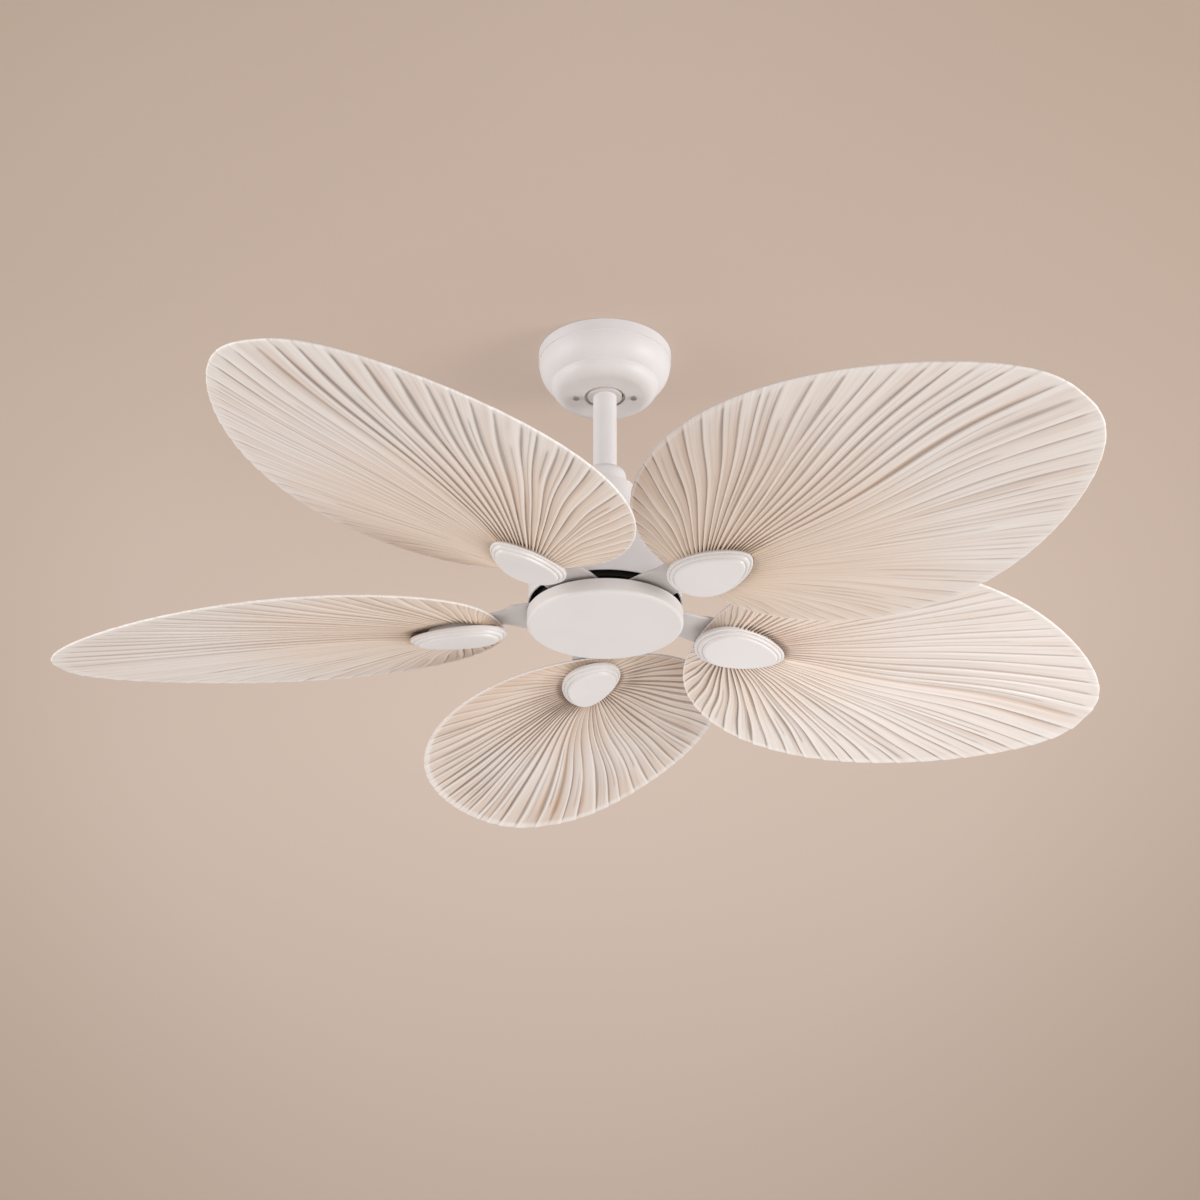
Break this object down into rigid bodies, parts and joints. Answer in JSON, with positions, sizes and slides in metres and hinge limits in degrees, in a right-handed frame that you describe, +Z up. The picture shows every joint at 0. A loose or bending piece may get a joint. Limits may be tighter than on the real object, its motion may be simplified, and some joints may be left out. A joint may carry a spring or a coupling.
{
  "type": "ceiling fan",
  "caption": "Hanging ceiling fan with pleated palm-leaf blades on flat arms, bell motor housing, short downrod and bowl canopy over a ball hanger.",
  "frame": {"origin": "on the fan's axis in the ceiling plane, midway between the two slotted ceiling holes of the hanger bracket", "axes": "+Z up along the fan's axis, through the ceiling; +X along the hanger bracket's strap; +Y completes the right hand"},
  "size_m": [1.2578, 1.2463, 0.3938],
  "materials": {
    "white_paint": "satin white powder coat",
    "white_plastic": "satin moulded plastic",
    "palm_leaf": "cream pleated palm-leaf moulding, matte, with tan streaks along the pleats",
    "black_paint": "cast, painted matte black",
    "zinc_steel": "zinc plated sheet",
    "bright_steel": "plain steel",
    "lamination": "stacked electrical sheet",
    "ferrite": "dark magnet",
    "copper": "enamelled copper",
    "nylon": "natural nylon",
    "black_plastic": "matte",
    "rubber_pad": "matte"
  },
  "bodies": {
    "ceiling_mount": {"hanger_bracket": "zinc_steel", "canopy": "white_paint", "canopy_screws": "bright_steel", "receiver_module": "white_plastic", "terminal_block": "black_plastic"},
    "seat_liner": {"ball_seat_liner": "nylon"},
    "hanging_frame": {"hanger_ball": "white_plastic", "hanger_pin": "bright_steel", "ball_set_screw": "bright_steel", "downrod": "white_paint", "coupling": "zinc_steel", "clevis_pin": "bright_steel", "clevis_clip": "bright_steel", "coupling_set_screws": "bright_steel", "housing_screws": "bright_steel", "coupling_cover": "white_paint", "motor_housing": "white_paint", "motor_shaft": "bright_steel", "stator_core": "lamination", "stator_windings": "copper", "upper_bearing_inner_race": "bright_steel", "lower_bearing_inner_race": "bright_steel", "shaft_spacer": "bright_steel", "cover_plate": "zinc_steel", "shaft_nut": "bright_steel", "bottom_cover": "white_plastic"},
    "upper_ball_set": {"upper_bearing_cage": "nylon", "upper_bearing_balls": "bright_steel"},
    "lower_ball_set": {"lower_bearing_cage": "nylon", "lower_bearing_balls": "bright_steel"},
    "rotor": {"rotor_upper_shell": "black_paint", "rotor_lower_shell": "black_paint", "rotor_screws": "bright_steel", "rotor_magnets": "ferrite", "upper_bearing_outer_race": "bright_steel", "lower_bearing_outer_race": "bright_steel", "arm_screws": "bright_steel", "blade_screws": "bright_steel", "blade_gaskets": "rubber_pad", "blade_arm_1": "white_paint", "blade_arm_2": "white_paint", "blade_arm_3": "white_paint", "blade_arm_4": "white_paint", "blade_arm_5": "white_paint", "blade_1": "palm_leaf", "blade_2": "palm_leaf", "blade_3": "palm_leaf", "blade_4": "palm_leaf", "blade_5": "palm_leaf", "medallion_1": "white_plastic", "medallion_2": "white_plastic", "medallion_3": "white_plastic", "medallion_4": "white_plastic", "medallion_5": "white_plastic"}
  },
  "joints": [
    {"name": "tilt_x", "type": "hinge", "parent": "ceiling_mount", "child": "seat_liner", "pos_m": [0, 0, -0.044], "axis": [1, 0, 0], "range_deg": [-12, 12]},
    {"name": "tilt_y", "type": "hinge", "parent": "seat_liner", "child": "hanging_frame", "pos_m": [0, 0, -0.044], "axis": [0, 1, 0], "range_deg": [-12, 12]},
    {"name": "rotor_spin", "type": "hinge", "parent": "hanging_frame", "child": "rotor", "pos_m": [0, 0, -0.311], "axis": [0, 0, 1], "continuous": true},
    {"name": "upper_ball_orbit", "type": "hinge", "parent": "hanging_frame", "child": "upper_ball_set", "pos_m": [0, 0, -0.288], "axis": [0, 0, 1], "continuous": true},
    {"name": "lower_ball_orbit", "type": "hinge", "parent": "hanging_frame", "child": "lower_ball_set", "pos_m": [0, 0, -0.334], "axis": [0, 0, 1], "continuous": true}
  ],
  "couplings": [
    {"joint": "upper_ball_orbit", "follows": "rotor_spin", "ratio": 0.6193},
    {"joint": "lower_ball_orbit", "follows": "rotor_spin", "ratio": 0.6193}
  ]
}
